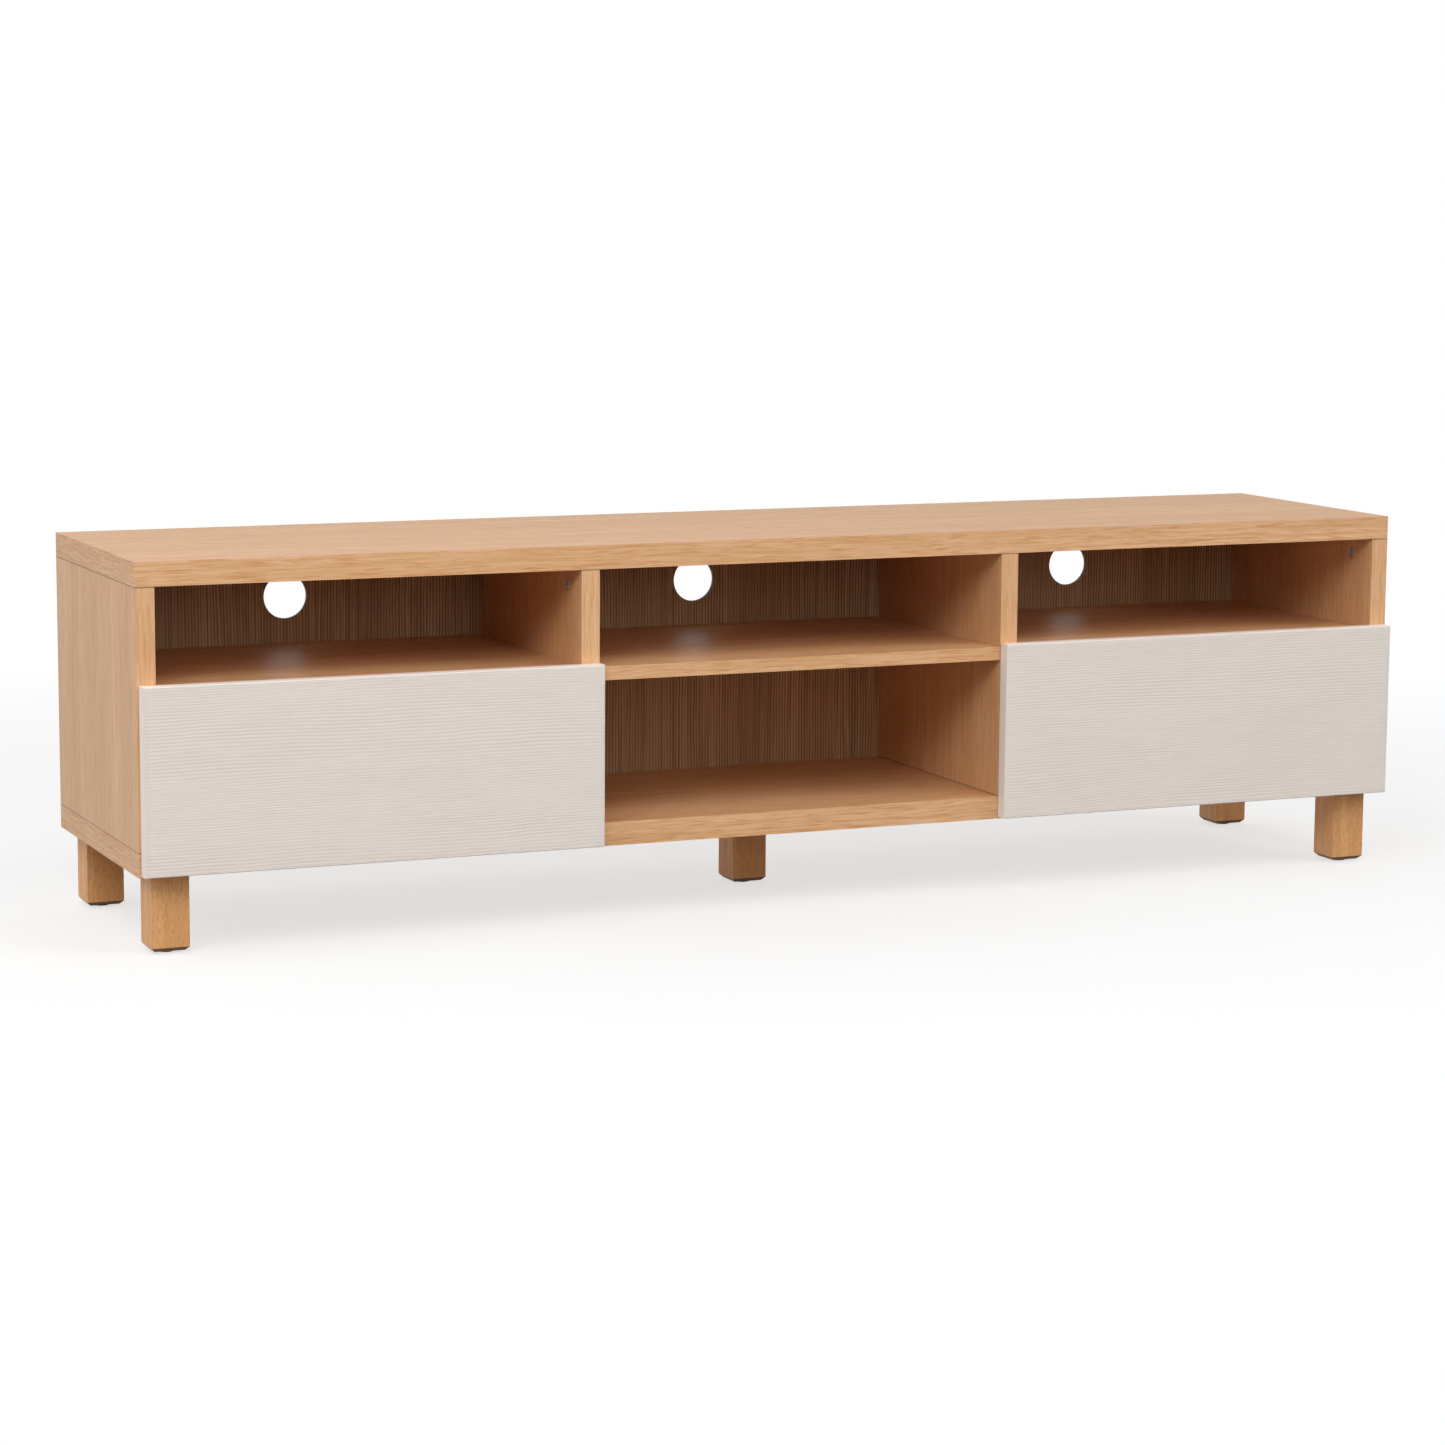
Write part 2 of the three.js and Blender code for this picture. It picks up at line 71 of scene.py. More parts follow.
class Graph:
    """Builds one material's node tree. Places are in metres, in the piece's own frame."""

    def __init__(self, name):
        self.material = bpy.data.materials.new(name)
        self.material.use_nodes = True
        self.tree = self.material.node_tree
        self.shader = self.tree.nodes["Principled BSDF"]

    def node(self, kind, **settings):
        made = self.tree.nodes.new(kind)
        for key, value in settings.items():
            setattr(made, key, value)
        return made

    def feed(self, socket, value):
        if isinstance(value, bpy.types.NodeSocket):
            self.tree.links.new(value, socket)
        else:
            socket.default_value = value

    def place(self):
        return self.node("ShaderNodeTexCoord").outputs["Object"]

    def split(self, vector):
        made = self.node("ShaderNodeSeparateXYZ")
        self.feed(made.inputs[0], vector)
        return made.outputs

    def facing(self, axis, least=0.7):
        """1 where the surface faces along the axis, either way, and 0 elsewhere."""
        normal = self.node("ShaderNodeNewGeometry").outputs["True Normal"]
        size = self.math("ABSOLUTE", self.split(normal)["XYZ".index(axis)])
        return self.math("GREATER_THAN", size, least)

    def math(self, operation, a, b=0.0):
        made = self.node("ShaderNodeMath", operation=operation)
        self.feed(made.inputs[0], a)
        self.feed(made.inputs[1], b)
        return made.outputs[0]

    def vector(self, operation, a, b):
        made = self.node("ShaderNodeVectorMath", operation=operation)
        self.feed(made.inputs[0], a)
        self.feed(made.inputs[1], b)
        return made.outputs[0]

    def pick(self, factor, a, b):
        """Vector a where the factor is 0 and vector b where it is 1."""
        made = self.node("ShaderNodeMix", data_type="VECTOR")
        self.feed(made.inputs[0], factor)
        self.feed(made.inputs[4], a)
        self.feed(made.inputs[5], b)
        return made.outputs[1]

    def noise(self, place, scale=1.0, detail=2.0, roughness=0.5):
        made = self.node("ShaderNodeTexNoise")
        self.feed(made.inputs["Vector"], place)
        made.inputs["Scale"].default_value = scale
        made.inputs["Detail"].default_value = detail
        made.inputs["Roughness"].default_value = roughness
        return made.outputs[0]

    def fit(self, value, low, high, to_low=0.0, to_high=1.0):
        """Maps low..high to to_low..to_high and clamps it."""
        made = self.node("ShaderNodeMapRange")
        self.feed(made.inputs[0], value)
        for index, setting in enumerate((low, high, to_low, to_high), start=1):
            made.inputs[index].default_value = setting
        return made.outputs[0]

    def blend(self, factor, a, b, mode="MIX"):
        made = self.node("ShaderNodeMix", data_type="RGBA", blend_type=mode)
        self.feed(made.inputs[0], factor)
        self.feed(made.inputs[6], a)
        self.feed(made.inputs[7], b)
        return made.outputs[2]

    def bump(self, height, distance, strength=1.0):
        made = self.node("ShaderNodeBump")
        self.feed(made.inputs["Height"], height)
        made.inputs["Distance"].default_value = distance
        made.inputs["Strength"].default_value = strength
        return made.outputs[0]

    def finish(self, color, roughness, normal=None, **constants):
        self.feed(self.shader.inputs["Base Color"], color)
        self.feed(self.shader.inputs["Roughness"], roughness)
        if normal is not None:
            self.feed(self.shader.inputs["Normal"], normal)
        for name, value in constants.items():
            self.shader.inputs[name.replace("_", " ")].default_value = value
        return self.material


class Grain:
    """Wood figure whose streaks run along one axis, and along another on the boards' end faces."""

    def __init__(self, graph, along, end_along=None, waver=1.4 * MM, bend=120 * MM):
        self.graph = graph
        self.along = along
        self.end_along = end_along
        self.is_end = None if end_along is None else graph.facing(along)
        place = graph.place()
        drift = graph.noise(graph.vector("MULTIPLY", place, per_axis(along, 1 / (3 * bend), 1 / bend)))
        shift = graph.math("MULTIPLY", graph.math("SUBTRACT", drift, 0.5), waver * 10)
        self.place = graph.vector("ADD", place, shift)

    def streaks(self, width, length, detail=1.0, roughness=0.5):
        """Noise whose spots are about width across and length along the grain, in metres."""
        graph = self.graph
        place = graph.vector("MULTIPLY", self.place, per_axis(self.along, 1 / length, 1 / width))
        if self.end_along is not None:
            ends = graph.vector("MULTIPLY", self.place, per_axis(self.end_along, 1 / length, 1 / width))
            place = graph.pick(self.is_end, place, ends)
        return graph.noise(place, 1.0, detail, roughness)


def rgba(red, green, blue):
    return (red, green, blue, 1.0)


def per_axis(axis, on_axis, elsewhere):
    return tuple(on_axis if name == axis else elsewhere for name in "XYZ")


def mixed(a, b, share):
    return tuple((1 - share) * x + share * y for x, y in zip(a, b))


def shade(color, factor):
    return tuple(factor * value for value in color[:3]) + (1.0,)


# ---------- tones and sizes of the materials ----------

HOLLOW = "hollow"  # vertex attribute of the drawer fronts: how deep the face is there, 0 to 1, which also sets their painted shade
SATIN = 0.4  # roughness of the lacquered oak
OAK_LIGHT = rgba(0.84, 0.525, 0.29)
OAK_DARK = rgba(0.63, 0.315, 0.125)
OAK_PORE = rgba(0.56, 0.20, 0.05)
PAINTED_EDGE_LIGHT = rgba(1.16, 1.16, 1.18)  # painted light: how much lighter the front and back edges are painted
# painted shade in the joints' gaps at the uprights' ends
JOINT_SHADE_TONE = rgba(0.22, 0.11, 0.05)
# raw core's tone, darkened further as painted shade in the holes
RAW_CORE_AND_SHADE = rgba(0.10, 0.06, 0.035)
LEG_PORE = rgba(0.30, 0.13, 0.05)
PINKISH_WHITE = rgba(0.96, 0.84, 0.78)
JOINT_SHADE_WIDTH = 0.6 * MM  # width of the dark line painted at the ends of the uprights, as the shade in the joints' gaps
COMB_PITCH = 4.4 * MM  # lines of the back's veneer
STRIP_WIDTH = 21 * MM  # strips that a leg is glued up from
UPRIGHT_HEIGHTS = [corner[2] for corner in NODES["left_divider"].bound_box]
UPRIGHT_ENDS = (min(UPRIGHT_HEIGHTS), max(UPRIGHT_HEIGHTS))

# ---------- materials ----------


def oak(name, along, end_along, lines, dashes, ends=None):
    """Straight-grained oak veneer, whose front and back edges are painted lighter as painted light. Where
    the board's two ends are given, they get a dark line of painted shade, as in the gap of a joint.
    """
    graph = Graph(name)
    grain = Grain(graph, along, end_along)
    leaf = grain.streaks(50 * MM, 1200 * MM)
    rings = grain.streaks(3.4 * MM, 160 * MM, 3.0, 0.65)
    fibre = grain.streaks(1.1 * MM, 50 * MM, 2.0, 0.6)
    dash = graph.fit(grain.streaks(1.6 * MM, 34 * MM), 0.53, 0.64)

    color = graph.blend(graph.fit(leaf, 0.3, 0.7), OAK_LIGHT, mixed(OAK_LIGHT, OAK_DARK, 0.4))
    color = graph.blend(graph.math("MULTIPLY", graph.fit(rings, 0.42, 0.66), lines), color, OAK_DARK)
    color = graph.blend(graph.fit(fibre, 0.4, 0.8, 0.0, 0.5 * lines), color, OAK_DARK)
    color = graph.blend(graph.math("MULTIPLY", dash, dashes), color, OAK_PORE)
    # painted light: faces turned to the front or back are made lighter
    color = graph.blend(graph.facing("Y"), color, PAINTED_EDGE_LIGHT, "MULTIPLY")
    # painted shade: a dark line at the uprights' ends, where the joints' gaps are
    if ends is not None:
        color = graph.blend(painted_joint_shade(graph, *ends), color, JOINT_SHADE_TONE)

    depth = graph.math("SUBTRACT", graph.math("MULTIPLY", fibre, 0.5), dash)
    sheen = graph.fit(rings, 0.3, 0.7, SATIN - 0.04, SATIN + 0.06)
    return graph.finish(color, sheen, graph.bump(depth, 0.05 * MM, 0.5))


def painted_joint_shade(graph, lower, upper):
    """How strong the painted joint shade is: 0.8 at the lower and upper ends of a board, and 0 from a
    short way inside them.
    """
    height = graph.split(graph.place())[2]
    above = graph.math("SUBTRACT", height, lower)
    below = graph.math("SUBTRACT", upper, height)
    return graph.fit(graph.math("MINIMUM", above, below), JOINT_SHADE_WIDTH, 2 * JOINT_SHADE_WIDTH, 0.8, 0.0)


def combed_oak(name, light, dark):
    """The back's veneer: fine upright lines a few millimetres apart. The holes' walls and the board's
    edges are very dark: the raw core's own tone, made darker as painted shade.
    """
    graph = Graph(name)
    grain = Grain(graph, "Z", waver=0.9 * MM, bend=90 * MM)
    across = graph.split(grain.place)[0]
    comb = graph.math("SINE", graph.math("MULTIPLY", across, 2 * math.pi / COMB_PITCH))
    rows = grain.streaks(4.2 * MM, 350 * MM, 2.0, 0.6)
    band = grain.streaks(60 * MM, 900 * MM)
    fibre = grain.streaks(1.2 * MM, 60 * MM)
    figure = graph.math("ADD", graph.math("MULTIPLY", comb, 0.21), rows)
    color = graph.blend(graph.fit(figure, 0.34, 0.72), light, dark)
    color = graph.blend(graph.fit(band, 0.35, 0.65, 0.0, 0.5), color, mixed(light, dark, 0.75))
    color = graph.blend(graph.fit(fibre, 0.5, 0.75, 0.0, 0.4), color, shade(dark, 0.8))
    # painted shade: faces not turned to the front or back, the holes' walls among them, get the dark core
    # colour
    color = graph.blend(graph.facing("Y"), RAW_CORE_AND_SHADE, color)
    normal = graph.bump(graph.math("SUBTRACT", 1.0, figure), 0.08 * MM, 0.5)
    return graph.finish(color, graph.fit(rows, 0.3, 0.7, 0.42, 0.52), normal)


def timber(name, light, dark):
    """Solid hardwood glued up from strips, with short dark pores, oiled. Faces turned up or down, the
    bottom chamfers among them, are very dark: the end grain's own tone, and painted shade on the chamfers.
    """
    graph = Graph(name)
    grain = Grain(graph, "Z", waver=1.2 * MM, bend=60 * MM)
    columns = graph.vector("MULTIPLY", grain.place, per_axis("Z", 0.0, 1 / STRIP_WIDTH))
    strips = graph.noise(columns, 1.0, 0.0)
    rings = grain.streaks(4 * MM, 60 * MM, 3.0, 0.6)
    pore = graph.fit(grain.streaks(1.3 * MM, 8 * MM), 0.54, 0.66)
    color = graph.blend(graph.fit(strips, 0.47, 0.53), light, mixed(light, dark, 0.55))
    color = graph.blend(graph.fit(rings, 0.4, 0.7, 0.0, 0.7), color, dark)
    color = graph.blend(graph.math("MULTIPLY", pore, 0.5), color, mixed(dark, LEG_PORE, 0.6))
    # painted shade: faces turned up or down, the bottom chamfers among them, made very dark, partly the
    # end grain's own tone
    end_grain_and_shade = graph.math("MULTIPLY", graph.facing("Z", 0.5), 0.85)
    color = graph.blend(end_grain_and_shade, color, shade(dark, 0.22))
    normal = graph.bump(graph.math("SUBTRACT", 1.0, pore), 0.1 * MM, 0.7)
    return graph.finish(color, graph.fit(rings, 0.3, 0.7, 0.42, 0.56), normal)


def whitewash(name, light, dark):
    """Foil with a pale brushed-pine look. The ripples' hollows and the seams, kept with the mesh, are
    painted darker as painted shade.
    """
    graph = Graph(name)
    hollow = graph.node("ShaderNodeAttribute", attribute_name=HOLLOW).outputs["Fac"]
    grain = Grain(graph, "X", waver=2 * MM, bend=100 * MM)
    fibre = grain.streaks(1.6 * MM, 50 * MM, 2.0, 0.6)
    cloud = grain.streaks(70 * MM, 200 * MM, 2.0)
    color = graph.blend(graph.fit(cloud, 0.35, 0.65), light, mixed(light, PINKISH_WHITE, 0.5))
    color = graph.blend(graph.fit(fibre, 0.4, 0.7, 0.0, 0.45), color, dark)
    # painted shade: darker where the face lies deeper, in the ripples' hollows and the seams
    color = graph.blend(graph.math("MULTIPLY", hollow, 0.6), color, dark)
    return graph.finish(color, graph.fit(fibre, 0.3, 0.7, 0.5, 0.6), graph.bump(fibre, 0.06 * MM, 0.5))


def board(name, along, end_along, light, dark):
    """Pale foiled board of the drawer boxes."""
    graph = Graph(name)
    grain = Grain(graph, along, end_along)
    rings = grain.streaks(6 * MM, 300 * MM, 3.0, 0.6)
    fleck = graph.fit(grain.streaks(1.2 * MM, 10 * MM), 0.6, 0.7, 0.0, 0.3)
    color = graph.blend(graph.fit(rings, 0.35, 0.7), light, dark)
    color = graph.blend(fleck, color, shade(dark, 0.7))
    return graph.finish(color, graph.fit(rings, 0.3, 0.7, 0.48, 0.58), graph.bump(rings, 0.05 * MM, 0.4))


def plain(name, color, roughness, metallic=0.0, mottle=0.12, spot_size=4 * MM):
    """Metal or plastic with a slight mottle in colour and gloss."""
    graph = Graph(name)
    spot = graph.noise(graph.place(), 1 / spot_size, 3.0)
    toned = graph.blend(graph.fit(spot, 0.3, 0.7), color, shade(color, 1 - mottle))
    gloss = graph.fit(spot, 0.3, 0.7, roughness - 0.05, roughness + 0.08)
    return graph.finish(toned, gloss, graph.bump(spot, 0.03 * MM, 0.3), Metallic=metallic)


def drawn_steel(name, color, roughness):
    """Zinc-plated strip with faint drawing lines along the runner."""
    graph = Graph(name)
    grain = Grain(graph, "Y", waver=0.0, bend=100 * MM)
    scratch = grain.streaks(0.6 * MM, 40 * MM, 2.0, 0.7)
    bloom = graph.noise(graph.place(), 60.0, 3.0)
    toned = graph.blend(graph.fit(bloom, 0.3, 0.7), color, shade(color, 0.82))
    gloss = graph.fit(scratch, 0.3, 0.7, roughness - 0.08, roughness + 0.12)
    return graph.finish(toned, gloss, graph.bump(scratch, 0.03 * MM, 0.5), Metallic=1.0)


LOOKS = {
    "oak_long": oak("oak_long", "X", "Y", lines=0.7, dashes=0.46),
    "oak_upright": oak("oak_upright", "Z", None, lines=0.55, dashes=0.32, ends=UPRIGHT_ENDS),
    "oak_back": combed_oak("oak_back", rgba(0.72, 0.465, 0.245), rgba(0.29, 0.155, 0.065)),
    "leg_timber": timber("leg_timber", rgba(0.93, 0.50, 0.205), rgba(0.76, 0.36, 0.13)),
    "pale_front": whitewash("pale_front", rgba(0.98, 0.90, 0.825), rgba(0.83, 0.745, 0.67)),
    "box_board": board("box_board", "Y", "X", rgba(0.74, 0.60, 0.44), rgba(0.62, 0.48, 0.33)),
    "box_base": plain("box_base", rgba(0.70, 0.64, 0.55), 0.6, mottle=0.08),
    "runner_steel": drawn_steel("runner_steel", rgba(0.62, 0.64, 0.66), 0.32),
    "cage_steel": plain("cage_steel", rgba(0.60, 0.61, 0.63), 0.26, 1.0),
    "zinc_fitting": plain("zinc_fitting", rgba(0.68, 0.68, 0.69), 0.48, 0.6, spot_size=2 * MM),
    "bolt_steel": plain("bolt_steel", rgba(0.66, 0.58, 0.40), 0.35, 1.0),
    "glide_plastic": plain("glide_plastic", rgba(0.030, 0.026, 0.022), 0.6),
    "latch_plastic": plain("latch_plastic", rgba(0.30, 0.31, 0.32), 0.5),
    "plunger_plastic": plain("plunger_plastic", rgba(0.03, 0.03, 0.03), 0.45),
}
GRAIN_UPRIGHT = ("side_panel", "divider")  # ends of the names of the upright boards
SHARP_ANGLE = 40
LEG_SHARP_ANGLE = 60  # leaves the legs' chamfers as they are
EASED = {  # radius of the eased edges, by slot
    "oak_veneer": 1.0 * MM,
    "leg_timber": 1.8 * MM,
    "box_board": 0.6 * MM,
    "box_base": 0.3 * MM,
    "zinc_fitting": 0.35 * MM,
    "glide_plastic": 0.4 * MM,
    "latch_plastic": 0.8 * MM,
    "plunger_plastic": 0.3 * MM,
}


def look_of(node, slot):
    if slot == "oak_veneer":
        return LOOKS["oak_upright" if node.endswith(GRAIN_UPRIGHT) else "oak_long"]
    if slot == "back_veneer":
        return LOOKS["oak_back"]
    return LOOKS[slot]


def ease_edges(piece, radius, sharper_than):
    """Cleans the triangulated faces and rounds the edges that turn by more than the given angle."""
    flat = piece.modifiers.new("flat_faces", "DECIMATE")
    flat.decimate_type = "DISSOLVE"
    flat.angle_limit = math.radians(0.5)
    soft = piece.modifiers.new("eased_edges", "BEVEL")
    soft.width = radius
    soft.segments = 2
    soft.limit_method = "ANGLE"
    soft.angle_limit = math.radians(sharper_than)
    soft.harden_normals = True


def finish_nodes():
    """Gives every CAD node its material, and eased edges where its slot has them."""
    for entry in frame["record"]["subparts"]:
        node, slot = entry["node"], entry["material_slot"]
        piece = NODES[node]
        piece.data.materials.clear()
        piece.data.materials.append(look_of(node, slot))
        if slot in EASED:
            ease_edges(piece, EASED[slot], LEG_SHARP_ANGLE if slot == "leg_timber" else SHARP_ANGLE)


finish_nodes()

# ---------- mesh helpers ----------


def add_piece(name, shape, body, look, replaced=None):
    """Makes an object from a bmesh, which is freed, and places it on a body."""
    bmesh.ops.recalc_face_normals(shape, faces=shape.faces)
    mesh = bpy.data.meshes.new(name)
    shape.to_mesh(mesh)
    shape.free()
    for polygon in mesh.polygons:
        polygon.use_smooth = True
    mesh.set_sharp_from_angle(angle=math.radians(35))
    mesh.materials.append(look)
    piece = bpy.data.objects.new(name, mesh)
    bpy.context.collection.objects.link(piece)
    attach(piece, body)
    if replaced is not None:
        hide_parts(replaced)
    return piece


def add_grid(shape, rows, closed=False):
    """Quads between rows of points, each row closed on itself where asked. Returns the vertices."""
    grid = [[shape.verts.new(point) for point in row] for row in rows]
    for lower, upper in zip(grid, grid[1:]):
        count = len(lower)
        for i in range(count if closed else count - 1):
            j = (i + 1) % count
            shape.faces.new((lower[i], lower[j], upper[j], upper[i]))
    return grid


def add_block(shape, low, high, radius):
    """A box between two corners, with its edges rounded."""
    low, high = Vector(low), Vector(high)
    made = bmesh.ops.create_cube(shape, size=1.0)["verts"]
    for vert in made:
        vert.co = (low + high) / 2 + Vector(a * b for a, b in zip(vert.co, high - low))
    edges = list({edge for vert in made for edge in vert.link_edges})
    bmesh.ops.bevel(shape, geom=edges, offset=radius, segments=2, profile=0.5, affect="EDGES")


def add_ball(shape, centre, radius):
    made = bmesh.ops.create_uvsphere(shape, u_segments=16, v_segments=10, radius=radius)["verts"]
    bmesh.ops.translate(shape, verts=made, vec=Vector(centre))


# ---------- drawer fronts ----------

RIPPLE_PITCH = 4.0 * MM
RIPPLE_DEPTH = 0.22 * MM
ROW_STEP = 0.7 * MM
COLUMN_STEP = 7 * MM
FRONT_ARRIS = 1.6 * MM
SEAM_WIDTH = 0.8 * MM
SEAM_DEPTH = 0.25 * MM


def ripple(x, z):
    """How hollow the face is at a place, 0 to 1: level ripples that wander and fade a little."""
    wander = noise.noise(Vector((3.2 * x, 0.0, 11.0 * z)))
    waver = noise.noise(Vector((17.0 * x, 4.0, 40.0 * z)))
    drift = 9 * MM * wander + 1.2 * MM * waver
    beat = 0.5 + 0.5 * math.cos(2 * math.pi * (z + drift) / RIPPLE_PITCH)
    strength = 0.75 + 0.6 * noise.noise(Vector((9.0 * x, 8.0, 45.0 * z)))
    return max(0.0, min(1.0, strength)) * beat ** 1.6


def wrapped_profile(low, high, depth, step):
    """Points over a board from one back edge to the other: (place, depth, kind of surface).

    Each edge is plain up to the arris, then comes the seam of the foil, then the rippled face.
    """
    turns = [math.radians(angle) for angle in (90, 67.5, 45, 22.5, 0)]
    edge = [(0.0, depth, "plain")]
    edge += [(FRONT_ARRIS * (1 - math.sin(t)), FRONT_ARRIS * (1 - math.cos(t)), "plain") for t in turns]
    edge += [(FRONT_ARRIS + SEAM_WIDTH / 2, SEAM_DEPTH, "seam"), (FRONT_ARRIS + SEAM_WIDTH, 0.0, "face")]
    start = low + FRONT_ARRIS + SEAM_WIDTH
    stop = high - FRONT_ARRIS - SEAM_WIDTH
    count = round((stop - start) / step)
    face = [(start + i * (stop - start) / count, 0.0, "face") for i in range(1, count)]
    first = [(low + place, down, kind) for place, down, kind in edge]
    last = [(high - place, down, kind) for place, down, kind in reversed(edge)]
    return first + face + last


def add_drawer_front(side):
    """A foil-wrapped front: rippled face, rounded arrises, plain edges and back."""
    node = f"{side}_drawer_front"
    low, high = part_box(node)
    depth = high.y - low.y
    shape = bmesh.new()
    hollow = shape.verts.layers.float.new(HOLLOW)
    columns = wrapped_profile(low.x, high.x, depth, COLUMN_STEP)
    rows = wrapped_profile(low.z, high.z, depth, ROW_STEP)
    points = [[(x, low.y + max(a, b), z) for x, a, _ in columns] for z, b, _ in rows]
    grid = add_grid(shape, points)
    for line, (z, _, row_kind) in zip(grid, rows):
        for vert, (x, _, column_kind) in zip(line, columns):
            kinds = {row_kind, column_kind}
            if kinds == {"face"}:
                vert[hollow] = ripple(x, z)
                vert.co.y += RIPPLE_DEPTH * vert[hollow]
            elif "plain" not in kinds:
                vert[hollow] = 1.0
    bmesh.ops.remove_doubles(shape, verts=shape.verts, dist=0.001 * MM)
    bmesh.ops.holes_fill(shape, edges=[edge for edge in shape.edges if edge.is_boundary], sides=0)
    add_piece(f"{side}_drawer_front_board", shape, f"{side}_drawer", LOOKS["pale_front"], node)


for side in DRAWERS:
    add_drawer_front(side)

# ---------- runners ----------

SHEET = 1.2 * MM  # rolled steel of the rails and slides
RAIL_LIP = 1.9 * MM
RAIL_BEND = 1.4 * MM
RAIL_SCREWS = (0.1, 0.5, 0.9)  # shares of the length
RAIL_HEAD_HEIGHT = 0.7 * MM
RAIL_HEAD_RECESS = 0.5 * MM
TAB_FROM_WEB = 1.3 * MM
TAB_HALF_WIDTH = 0.7 * MM
TAB_FROM_END = 4 * MM
TAB_THICKNESS = 2 * MM
TAB_TOP = 0.9 * MM  # below the rail's upper face
TAB_FOOT = 3.1 * MM
TAB_ROUNDING = 0.3 * MM
SLIDE_BEND = 1.2 * MM
SLIDE_SCREWS = (0.08, 0.42, 0.92)
SLIDE_HEAD_HEIGHT = 1.8 * MM
SLIDE_HEAD_RECESS = 1.0 * MM
RACE_FROM_EDGE = 3.1 * MM  # the groove that the balls run in
RACE_HALF_WIDTH = 1.6 * MM
RACE_DIP = 0.35 * MM
CAGE_SHEET = 0.8 * MM
CAGE_BEND = 1.0 * MM
BALL_RADIUS = 2.3 * MM
BALL_PITCH = 9.75 * MM
RUNNER_HEAD_RADIUS = 3.6 * MM
RUNNER_HEAD_SEAT = 0.9 * SHEET  # from the web's outer face
RUNNER_CROSS = (3.4 * MM, 0.8 * MM)  # length and width of a screw's cross recess
HEAD_SEGMENTS = 24
HEAD_RIM = 0.18  # of the head's height


def rounded_path(points, radius):
    """An open path with each inner corner replaced by a short curve."""
    points = [Vector(point) for point in points]
    path = [points[0]]
    for before, corner, after in zip(points, points[1:], points[2:]):
        reach = min(radius, (corner - before).length / 2, (after - corner).length / 2)
        start = corner + reach * (before - corner).normalized()
        end = corner + reach * (after - corner).normalized()
        for t in (0.0, 0.25, 0.5, 0.75, 1.0):
            path.append((1 - t) ** 2 * start + 2 * t * (1 - t) * corner + t ** 2 * end)
    return path + [points[-1]]


def thickened(path, thickness):
    """A closed outline: the path, and back along it on its left-hand side."""
    inner = []
    for i, point in enumerate(path):
        step = (path[min(i + 1, len(path) - 1)] - path[max(i - 1, 0)]).normalized()
        inner.append(point + thickness * Vector((-step.y, step.x)))
    return list(path) + inner[::-1]


def mirrored(upper):
    """A path of (x, z) points from the top down, completed with its mirror image below z = 0."""
    return upper + [(x, -z) for x, z in reversed(upper)]


def add_strip(shape, section, place, hand, low_y, high_y):
    """Extrudes a thickened (x, z) path along Y. place is its origin, and hand is the side it opens to."""
    rings = [[(place.x + hand * x, y, place.y + z) for x, z in section] for y in (low_y, high_y)]
    grid = add_grid(shape, rings, closed=True)
    for ring in grid:
        last = len(ring) - 1
        for i in range(len(ring) // 2 - 1):
            shape.faces.new((ring[i], ring[i + 1], ring[last - i - 1], ring[last - i]))


def cross_outline(length, width):
    """The corners of a plus sign, three to each quarter turn."""
    long, short = length / 2, width / 2
    corners = []
    quarter = [(long, short), (short, short), (short, long)]
    for _ in range(4):
        corners += quarter
        quarter = [(-y, x) for x, y in quarter]
    return corners


def add_head(shape, centre, toward, radius, height, cross, recess):
    """A round head with a bevelled rim and a cross recess, given by its length and width and its depth."""
    centre = Vector(centre)
    turn = Vector(toward).to_track_quat("Z", "Y")
    rim = HEAD_RIM * height
    angles = [2 * math.pi * i / HEAD_SEGMENTS for i in range(HEAD_SEGMENTS)]
    wall = []
    for size, level in ((radius, 0.0), (radius, height - rim), (radius - rim, height)):
        wall.append([(size * math.cos(angle), size * math.sin(angle), level) for angle in angles])
    well = [[(x, y, level) for x, y in cross_outline(*cross)] for level in (height, height - recess)]
    outer, inner = (
        add_grid(shape, [[centre + turn @ Vector(point) for point in ring] for ring in rings], closed=True)
        for rings in (wall, well)
    )
    shape.faces.new(outer[0])
    shape.faces.new(inner[1])
    loops = [outer[-1], inner[0]]
    edges = [shape.edges.get((loop[i - 1], loop[i])) for loop in loops for i in range(len(loop))]
    bmesh.ops.triangle_fill(shape, edges=edges, use_beauty=True)


class Runner:
    """The boxes of one runner's three CAD nodes, and the hand and height that its profiles share."""

    def __init__(self, side, hand_name):
        self.name = f"{side}_drawer_{hand_name}"
        self.drawer = f"{side}_drawer"
        self.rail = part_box(f"{self.name}_runner_rail")
        self.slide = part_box(f"{self.name}_runner_slide")
        self.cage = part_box(f"{self.name}_ball_cage")
        self.hand = 1 if hand_name == "left" else -1
        self.level = (self.rail[0].z + self.rail[1].z) / 2
        self.front = self.rail[0].y
        self.back = self.rail[1].y


def face_x(box, hand):
    """Where a box's face toward the carcass is. With the hand turned round: its face toward the drawer."""
    low, high = box
    return low.x if hand == 1 else high.x


def add_runner_heads(shape, runner, x, hand, shares, height, recess):
    """Screw heads along a web, facing the way that the hand says."""
    for share in shares:
        y = runner.front + share * (runner.back - runner.front)
        centre = (x, y, runner.level)
        add_head(shape, centre, (hand, 0, 0), RUNNER_HEAD_RADIUS, height, RUNNER_CROSS, recess)


